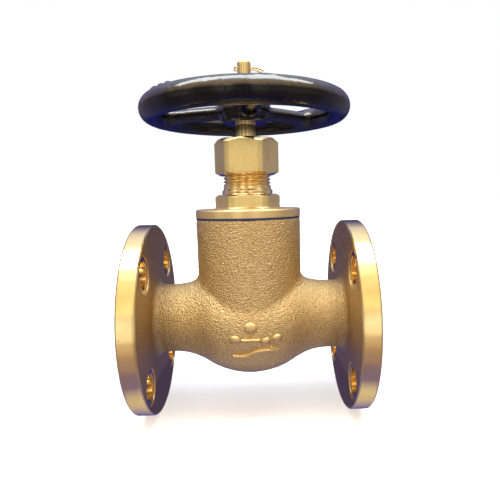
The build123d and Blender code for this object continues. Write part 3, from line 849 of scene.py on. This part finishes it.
def make_bonnet():
    """Screwed skirt, cover disc, hexagon, and the threaded neck that holds the packing."""
    stem_bore, screw_bore, packing_bore = 6.05, 8.05, 10.0
    guide, guide_bottom = 12.5, 42.0
    skirt_inside, skirt_bottom, skirt_crest, skirt_top = 21.5, 48.5, 26.0, 59.6
    cover, cover_top, hexagon_top, corner = 31.2, 66.0, 74.3, 19.2
    neck_crest, neck_top, packing_floor = 13.95, 95.8, 74.0
    bevel_start = corner - 1.2 / SLOPE
    skirt_thread = helix(24.95, skirt_crest, 2.0, 48.8, 59.0)
    neck_thread = helix(12.75, neck_crest, 2.0, 79.6, 94.6)

    def hex_side(angle):
        return np.minimum(COVER_HEX(angle), corner)

    piece = turned("bonnet_turned", [
        (screw_bore, guide_bottom, 0.2, 4), (guide, guide_bottom, 0.5, 4),
        (guide, 55.0, 1.0, 4), (14.0, 56.5, 0.8, 4), (skirt_inside, 56.5, 0.6, 4),
        (skirt_inside, skirt_bottom, 0.2, 4), (skirt_crest, skirt_bottom, 0, 0.15),
        (skirt_crest, skirt_top, 0, 1), (25.0, COVER_BOTTOM, 0, 3),
        (cover, COVER_BOTTOM, 0.3, 1), (cover, cover_top - 0.8, 0.4, 0.5),
        (cover - 0.8, cover_top, 0.3, 3), (20.4, cover_top, 0.5, 1),
        lambda a: (hex_side(a), cover_top + 0.9, 0.5, 2),
        lambda a: (hex_side(a), hexagon_top - (hex_side(a) - bevel_start) * SLOPE, 0.25, 1),
        (bevel_start, hexagon_top, 0.2, 1), (15.3, hexagon_top, 0.25, 0.5),
        (14.8, 74.9, 0.3, 0.5), (15.0, 75.6, 0.3, 0.5), (15.0, 76.5, 0.3, 0.5),
        (neck_crest, 77.5, 0.3, 0.5), (neck_crest, 79.0, 0, 0.15),
        (neck_crest, neck_top - 0.8, 0, 0.5), (13.2, neck_top, 0.1, 1),
        (packing_bore, neck_top, 0.1, 4), (packing_bore, packing_floor, 0.1, 4),
        (stem_bore, packing_floor, 0.1, 4), (stem_bore, 71.1, 0.1, 2),
        (screw_bore, 69.1, 0.1, 6),
    ], segments=360, relief=lambda a, r, h: neck_thread(a, r, h) + skirt_thread(a, r, h))

    def choose(centres, normals):
        outside = np.hypot(centres[:, 0], centres[:, 1]) > 16
        height = centres[:, 2]
        hexagon_bottom = cover_top + 0.7
        flats = (height > hexagon_bottom) & (height < hexagon_top - 0.1)
        flats = flats & (abs(normals[:, 2]) < 0.4)
        disc = (height > COVER_BOTTOM - 0.4) & (height < hexagon_bottom)
        return np.where(flats & outside, 1, np.where(disc & outside, 2, 0))

    finish_piece(piece, "valve_body", "machined_bronze", ["bonnet"], LATHE, WRENCH, COVER)
    paint_faces(piece, choose)


def make_packing_nut():
    """Tall hexagon nut, bevelled at both ends, more steeply at the top."""
    bottom, top, roof = 85.5, 106.5, 99.6
    bore, stem_hole, corner = 14.0, 6.3, 18.9
    start_low, start_high = 15.9, 16.2
    slope_low, slope_high = 0.57, 0.9

    def side(angle):
        return np.minimum(NUT_HEX(angle), corner)

    piece = turned("packing_nut_turned", [
        (bore, bottom + 0.8, 0.1, 1), (bore + 0.8, bottom, 0.1, 1), (start_low, bottom, 0.1, 1),
        lambda a: (side(a), bottom + (side(a) - start_low) * slope_low, 0.35, 3),
        lambda a: (side(a), top - (side(a) - start_high) * slope_high, 0.35, 1),
        (start_high, top, 0.3, 2), (stem_hole + 0.4, top, 0.3, 0.5),
        (stem_hole, top - 0.4, 0.1, 3), (stem_hole, roof, 0.1, 4), (bore, roof, 0.1, 4),
    ], segments=360)

    def choose(centres, normals):
        radius = np.hypot(centres[:, 0], centres[:, 1])
        return np.where((radius > 16.5) & (abs(normals[:, 2]) < 0.3), 1, 0)

    finish_piece(piece, "packing_nut", "machined_bronze", ["packing_nut"], LATHE, WRENCH)
    paint_faces(piece, choose)


def make_gasket():
    inner, outer = 26.3, 31.0
    piece = turned("gasket_sheet", [
        (inner, BODY_TOP, 0.1, 1), (outer, BODY_TOP, 0.2, 0.4),
        (outer, COVER_BOTTOM, 0.2, 1), (inner, COVER_BOTTOM, 0.1, 1),
    ], segments=256)
    finish_piece(piece, "valve_body", "joint_sheet", ["bonnet_gasket"], SHEET)


# ---- stem and handwheel -----------------------------------------------------

def make_stem():
    """Head that turns in the disc, screw, plain rod, square, end thread and drilled tip."""
    low, high = stem_low.z / MM, stem_high.z / MM
    rod, crest, end_crest, tip, half_square = 6.0, 8.0, 4.0, 3.9, 4.5
    screw = helix(6.25, crest, 3.0, 31.8, 58.6)
    end = helix(3.4, end_crest, 1.25, 133.6, 140.6, 0.3)

    def square(angle):
        lean = np.maximum(abs(np.cos(angle)), abs(np.sin(angle)))
        return np.minimum(half_square / lean, rod)

    piece = turned("stem_turned", [
        (0, low, 0, 2), (7.0, low, 0.3, 1), (8.0, low + 1, 0.3, 2), (8.0, 17.0, 0.2, 1),
        (rod, 17.0, 0.3, 4), (rod, 31.0, 0, 1), (crest, 31.6, 0, 0.2), (crest, 59.0, 0, 1),
        (rod, 61.0, 0.4, 4), (rod, SQUARE_BOTTOM, 0, 0.5),
        lambda a: (square(a), SQUARE_BOTTOM + 0.01, 0, 4),
        lambda a: (square(a), SQUARE_TOP - 0.01, 0, 0.5),
        (3.6, SQUARE_TOP, 0, 0.5), (end_crest, 133.3, 0, 0.12), (end_crest, 141.0, 0, 0.5),
        (3.4, 141.2, 0.1, 0.5), (tip, 141.6, 0.2, 2),
        (tip, high - 0.7, 0.15, 0.5), (tip - 0.7, high, 0.15, 1), (0, high, 0, 1),
    ], segments=96, relief=lambda a, r, h: screw(a, r, h) + end(a, r, h))
    drill = [(0, -9, 0, 9), (1.0, -9, 0, 9), (1.0, 9, 0, 9), (0, 9, 0, 9)]
    cutter = turned("cutter", drill, segments=32)
    along_pipe(cutter, 1, (0, 0, PIN_LEVEL))
    cut(piece, [cutter])
    finish_piece(piece, "stem", "machined_bronze", ["stem"], LATHE)


RIM_CIRCLE = 54.3
RIM_LEVEL = 122.6
RIM_HALF_WIDTH, RIM_HALF_HEIGHT = 6.3, 7.0
SPOKE_LEVEL = 122.75
SPOKE_HALF_WIDTH, SPOKE_HALF_HEIGHT = 5.75, 4.1
SPOKES = [math.radians(40 + 120 * k) for k in range(3)]
HUB_TOP = 127.7


def wheel_field(points):
    """Rim, three spokes and a slightly angular hub, run together.

    Rim and spokes are oval in section. A middle radius turns an oval's ratio into millimetres.
    """
    rim_middle, spoke_middle = 6.5, 4.7
    x, y, z = points.T
    radius = np.hypot(x, y)
    aside, above = radius - RIM_CIRCLE, z - RIM_LEVEL
    rim = (np.hypot(aside / RIM_HALF_WIDTH, above / RIM_HALF_HEIGHT) - 1) * rim_middle
    spokes = np.full(len(x), 1e3)
    for azimuth in SPOKES:
        along = x * math.cos(azimuth) + y * math.sin(azimuth)
        across = y * math.cos(azimuth) - x * math.sin(azimuth)
        above = z - SPOKE_LEVEL
        bar = np.hypot(across / SPOKE_HALF_WIDTH, above / SPOKE_HALF_HEIGHT) - 1
        bar = bar * spoke_middle
        ends = np.maximum(9 - along, along - RIM_CIRCLE)
        spokes = np.minimum(spokes, np.maximum(bar, ends))
    angle = np.arctan2(y, x)
    wall = 13.2 + 2.0 * smoothstep(SQUARE_BOTTOM, 122.0, z) - 1.2 * smoothstep(125.0, 127.6, z)
    wall = wall - 0.35 * (1 - np.cos(6 * (angle - SPOKES[0])))
    hub = np.maximum(radius - wall, z - HUB_TOP)
    return smooth_union(smooth_union(spokes, rim, 5.0), hub, 4.0)


# Places where the paint dried in lumps, outside the rim on the inlet side.
PAINT_LUMPS = [(-37.2, -41.5, 129.5), (-41.2, -37.6, 129.6), (-45.6, -32.6, 129.4)]


def make_handwheel():
    """The wheel under its coat of paint, which is thick and slightly uneven."""
    piece = remeshed("handwheel_painted", "handwheel", 0.55)

    def free(points):
        radius = np.hypot(points[:, 0], points[:, 1])
        return (radius > 11.3) & (points[:, 2] > 116.2)

    wrap(piece, wheel_field, free, near=2.5, rounds=4)

    def skin(points, normals):
        radius = np.hypot(points[:, 0], points[:, 1])
        relief = 0.07 * lattice_noise(points, 9.0, 7) + 0.02 * lattice_noise(points, 3.0, 8)
        # The coat starts 0.05 mm in, so that its highest waves stay in the CAD box.
        relief = relief - 0.05
        for spot in PAINT_LUMPS:
            away = np.linalg.norm(points - np.array(spot), axis=1)
            relief = relief + 0.75 * np.exp(-(away / 1.6) ** 2)
        return relief * smoothstep(7.5, 10.0, radius)

    lift_skin(piece, skin)
    finish_piece(piece, "stem", "black_enamel", ["handwheel"], ENAMEL, crease=70)


def make_washer():
    inner, outer = 4.3, 9.0
    washer = turned("washer_steel", [
        (inner, SQUARE_TOP, 0.1, 1), (outer, SQUARE_TOP, 0.2, 1),
        (outer, WASHER_TOP, 0.35, 1), (inner, WASHER_TOP, 0.1, 1),
    ], segments=96)
    finish_piece(washer, "stem", "plated_steel", ["wheel_washer"], STEEL)


def make_wheel_nut():
    bore, corner = 4.05, 7.4
    shape = hexagon_radius(13.0, 12.0)
    start = corner - 0.6 / SLOPE

    def side(angle):
        return np.minimum(shape(angle), corner)

    nut = turned("wheel_nut_turned", [
        (bore, WASHER_TOP, 0.1, 1), (start, WASHER_TOP, 0.1, 1),
        lambda a: (side(a), WASHER_TOP + (side(a) - start) * SLOPE, 0.15, 2),
        lambda a: (side(a), WHEEL_NUT_TOP - (side(a) - start) * SLOPE, 0.15, 1),
        (start, WHEEL_NUT_TOP, 0.1, 1), (4.6, WHEEL_NUT_TOP, 0.1, 0.5),
        (bore, WHEEL_NUT_TOP - 0.5, 0.1, 1),
    ], segments=240)
    finish_piece(nut, "stem", "machined_bronze", ["wheel_nut"], WRENCH)


def make_split_pin():
    """Brass wire folded into an eye, its two legs bent down past the stem."""
    wire_radius = 0.45
    leg = 0.48
    route = [
        (11.4, -1.45), (9.6, -0.45), (8.0, 0.0), (6.2, 0.38), (4.3, leg), (0.0, leg),
        (-4.1, leg), (-4.6, 1.0), (-5.0, 1.3), (-5.45, 0.7), (-5.45, -0.7), (-5.0, -1.3),
        (-4.6, -1.0), (-4.1, -leg), (0.0, -leg), (4.3, -leg), (7.8, -1.35), (10.0, -2.3),
        (12.4, -3.5),
    ]
    curve = bpy.data.curves.new("wire", "CURVE")
    curve.dimensions = "3D"
    curve.bevel_depth = wire_radius * MM
    curve.bevel_resolution = 4
    curve.use_fill_caps = True
    curve.resolution_u = 6
    spline = curve.splines.new("NURBS")
    spline.points.add(len(route) - 1)
    for point, (x, rise) in zip(spline.points, route):
        point.co = (*(Vector((x, 0, PIN_LEVEL + rise)) * MM + AXIS), 1)
    spline.order_u = 3
    spline.use_endpoint_u = True
    drawn = add_object("wire", curve)
    bpy.context.view_layer.update()
    mesh = bpy.data.meshes.new_from_object(
        drawn.evaluated_get(bpy.context.evaluated_depsgraph_get())
    )
    bpy.data.objects.remove(drawn)
    piece = add_object("split_pin_wire", mesh)
    finish_piece(piece, "stem", "brass_wire", ["split_pin"], WIRE)


def dress_cad_nodes():
    """Materials for the inner parts that keep their CAD shape."""
    looks = {"packing_seat_ring": LATHE, "gland": LATHE, "disc": LATHE, "disc_nut": WRENCH}
    for index in range(1, 5):
        looks["packing_ring_" + str(index)] = PACKING
    for node, material in looks.items():
        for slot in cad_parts[node].material_slots:
            slot.material = material


# ---- stage ------------------------------------------------------------------

def make_camera():
    """Camera 0.28 m in front of the stem and 0.07 m over the pipe, looking slightly down."""
    place_at = (0.071898, -0.275896, 0.071708)
    aside, roll, down = -0.022, 0.024, 0.138
    turn = Matrix.Rotation(aside, 3, "Z") @ Matrix.Rotation(roll, 3, "Y")
    turn = turn @ Matrix.Rotation(math.pi / 2 - down, 3, "X")
    data = bpy.data.cameras.new("camera")
    data.lens = 32.703
    data.sensor_width = 36
    data.clip_start = 0.01
    data.shift_x = -0.03185
    data.shift_y = 0.02306
    camera = add_object("camera", data)
    camera.matrix_world = Matrix.Translation(place_at) @ turn.to_4x4()
    bpy.context.scene.camera = camera


def make_floor():
    """Plain pale floor that the polished metal doesn't mirror."""
    half = 20.0
    level = cad_box[0][2]
    mesh = bpy.data.meshes.new("floor")
    square = ((-half, -half), (half, -half), (half, half), (-half, half))
    corners = [(x, y, level) for x, y in square]
    mesh.from_pydata(corners, [], [(0, 1, 2, 3)])
    floor = add_object("floor", mesh)
    floor.visible_glossy = False
    glow = {"Emission Color": (1, 1, 1, 1), "Emission Strength": 0.5}
    m = Shades("floor", {"Roughness": 0.9, **glow})
    m.join("Base Color", m.blend(m.noise(300.0), (0.84, 0.86, 0.90, 1), (0.88, 0.90, 0.94, 1)))
    mesh.materials.append(m.material)


def make_light():
    """Wide soft light overhead, just in front of the wheel."""
    data = bpy.data.lights.new("softbox", "AREA")
    data.shape = "ELLIPSE"
    data.size, data.size_y = 2.0, 0.50
    data.energy = 12.3
    data.color = (0.93, 0.97, 1.0)
    softbox = add_object("softbox", data)
    softbox.location = (AXIS.x, -0.08, 1.0)
    softbox.rotation_euler = (-0.08, 0, 0)


# Room light by height above the horizon, in degrees: FRONT on the near side of the object and
# BACK on the far side. Round the horizon, by how far to the right the light comes from (the
# sine of its bearing), ACROSS scales the first and ASIDE is added to the second.
FRONT = [
    (-90, (0.78, 0.76, 0.66)), (-78, (0.78, 0.72, 0.62)), (-66, (0.24, 0.19, 0.44)),
    (-48, (0.26, 0.20, 0.34)), (-45, (0.36, 0.26, 0.30)), (-28, (0.40, 0.29, 0.26)),
    (-24, (0.50, 0.36, 0.26)), (-14, (0.54, 0.44, 0.34)), (-10, (0.84, 0.74, 0.58)),
    (2, (0.96, 0.88, 0.74)), (9, (0.92, 0.84, 0.68)), (12, (0.82, 0.73, 0.57)),
    (17, (0.90, 0.77, 0.57)), (20, (1.16, 0.92, 0.55)), (34, (1.24, 0.94, 0.54)),
    (37, (1.05, 0.86, 0.60)), (41, (1.55, 1.06, 0.62)), (54, (1.60, 1.20, 0.80)),
    (58, (1.8, 1.6, 1.25)), (70, (2.2, 1.9, 1.5)), (84, (1.2, 1.25, 1.3)),
    (90, (1.2, 1.25, 1.3)),
]
BACK = [
    (-90, (0.78, 0.76, 0.66)), (-76, (0.76, 0.68, 0.56)), (-60, (0.46, 0.41, 0.54)),
    (-42, (0.16, 0.15, 0.42)), (-22, (0.04, 0.05, 0.32)), (-4, (0.02, 0.02, 0.13)),
    (10, (0.02, 0.03, 0.16)), (24, (0.15, 0.14, 0.32)), (34, (0.38, 0.37, 0.60)),
    (44, (0.80, 0.80, 0.95)), (62, (1.2, 1.2, 1.25)), (90, (1.2, 1.25, 1.3)),
]
ACROSS = [
    (-1.0, 0.34), (-0.95, 0.70), (-0.86, 1.10), (-0.74, 0.50), (-0.58, 0.55), (-0.44, 1.45),
    (-0.26, 1.40), (-0.13, 0.50), (0.04, 0.50), (0.16, 1.40), (0.32, 1.35), (0.46, 0.80),
    (0.90, 0.75), (1.0, 0.36),
]
ASIDE = [
    (-1.0, (0.34, 0.29, 0.24)), (-0.6, (0.22, 0.18, 0.14)), (-0.3, (0.0, 0.0, 0.0)),
    (0.3, (0.0, 0.0, 0.0)), (0.75, (0.28, 0.25, 0.20)), (1.0, (0.38, 0.34, 0.28)),
]


def spread(stops, limit):
    """Ramp stops from places between -limit and limit."""
    return [((place_at + limit) / (2 * limit), level) for place_at, level in stops]


def make_world():
    """Room light by direction alone. The camera sees plain white instead."""
    world = bpy.data.worlds.new("studio")
    bpy.context.scene.world = world
    world.use_nodes = True
    world.node_tree.nodes.clear()
    n = Nodes(world.node_tree)
    direction = n.add("ShaderNodeTexCoord", {}).outputs["Generated"]
    parts = n.add("ShaderNodeSeparateXYZ", {0: direction}).outputs
    height = n.math("MULTIPLY_ADD", n.math("ARCSINE", parts["Z"]), 1 / math.pi, 0.5)
    level_part = n.math("SUBTRACT", 1.0001, n.math("MULTIPLY", parts["Z"], parts["Z"]))
    level_part = n.math("SQRT", level_part)
    across = n.math("MULTIPLY_ADD", n.math("DIVIDE", parts["X"], level_part), 0.5, 0.5)
    ahead = n.math("DIVIDE", parts["Y"], level_part)
    ahead = n.math("MULTIPLY_ADD", ahead, 2.2, 0.35, clamp=True)
    steep = n.math("MULTIPLY_ADD", n.math("ABSOLUTE", parts["Z"]), 2.6, -0.85, clamp=True)
    stripes = n.blend(steep, n.ramp(across, *spread(ACROSS, 1)), (1, 1, 1, 1))
    front = n.blend(1.0, n.ramp(height, *spread(FRONT, 90)), stripes, kind="MULTIPLY")
    sides = n.blend(steep, n.ramp(across, *spread(ASIDE, 1)), (0, 0, 0, 1))
    back = n.blend(1.0, n.ramp(height, *spread(BACK, 90)), sides, kind="ADD")
    room = n.blend(ahead, front, back)
    seen = n.add("ShaderNodeLightPath", {}).outputs["Is Camera Ray"]
    shown = n.blend(seen, room, (1, 1, 1, 1))
    lit = n.add("ShaderNodeBackground", {"Color": shown, "Strength": 1.0})
    n.add("ShaderNodeOutputWorld", {"Surface": lit.outputs[0]})


# ---- build ------------------------------------------------------------------

make_camera()
make_world()
make_floor()
make_light()
make_casting()
make_marks()
make_flange("inlet_flange", -1)
make_flange("outlet_flange", 1)
make_bonnet()
make_packing_nut()
make_gasket()
make_stem()
make_handwheel()
make_washer()
make_wheel_nut()
make_split_pin()
dress_cad_nodes()
bpy.context.scene.view_settings.view_transform = "Standard"
